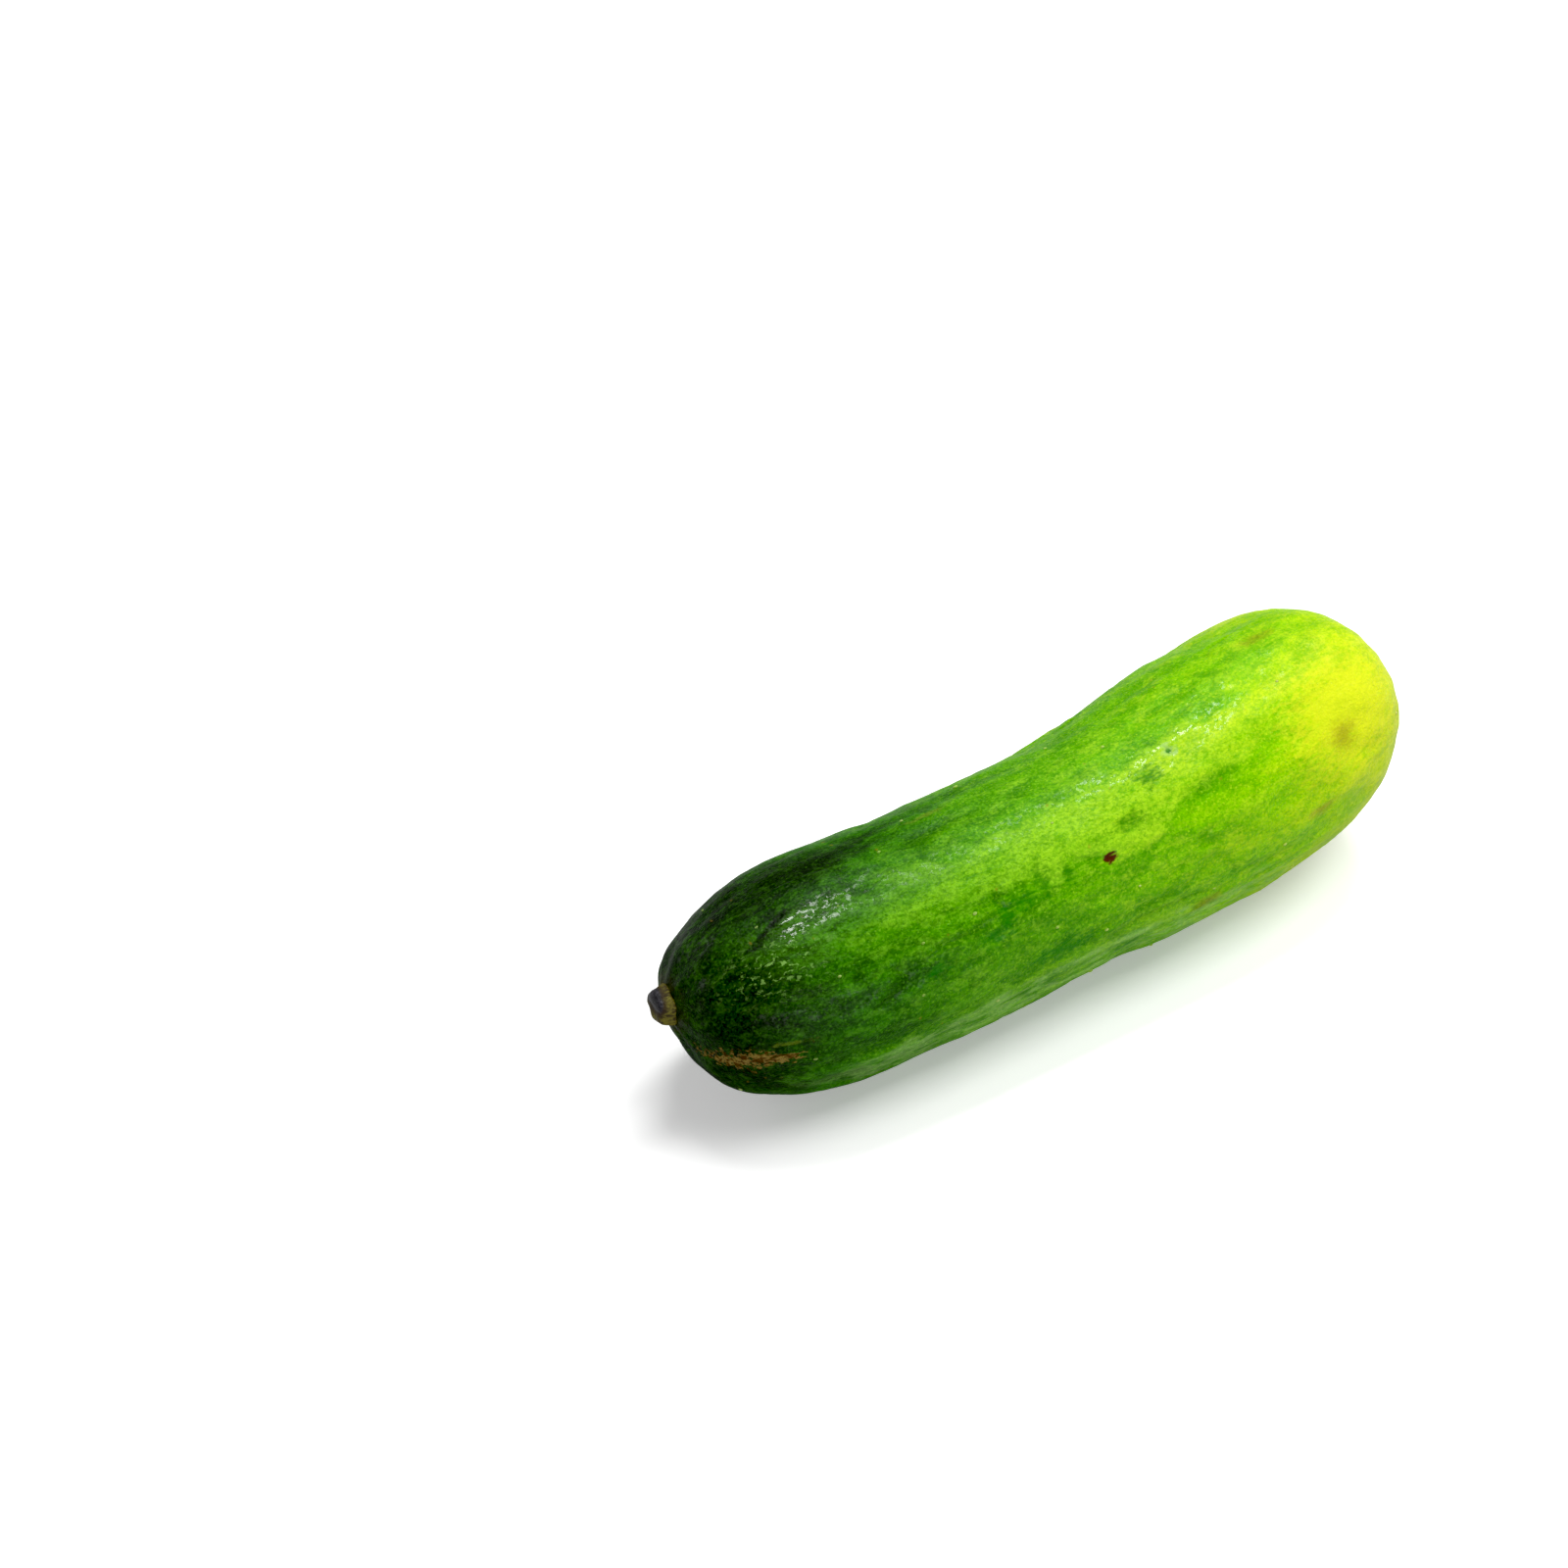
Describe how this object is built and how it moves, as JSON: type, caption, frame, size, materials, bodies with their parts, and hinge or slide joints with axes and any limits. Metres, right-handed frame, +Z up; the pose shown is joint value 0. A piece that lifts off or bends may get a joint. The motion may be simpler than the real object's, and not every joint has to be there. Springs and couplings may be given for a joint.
{
  "type": "cucumber",
  "caption": "Short smooth-skinned cucumber, slightly bent, dark at the stalk end and yellow-green at the blossom end, lying on its side with a dry stalk stub.",
  "frame": {"origin": "on the surface it lies on, under the middle of the bounding box", "axes": "+X from the stalk end to the blossom end, +Y to the hollow side of the bend, +Z up from the surface"},
  "size_m": [0.1524, 0.046, 0.0448],
  "materials": {
    "skin": "waxy, softly glossy, mottled green skin, near black at the stalk end and yellow-green at the blossom end",
    "stub": "dry, slightly corky olive-brown stalk with a dark cut end"
  },
  "bodies": {
    "root": {"fruit": "skin", "stalk_stub": "stub"}
  },
  "joints": []
}
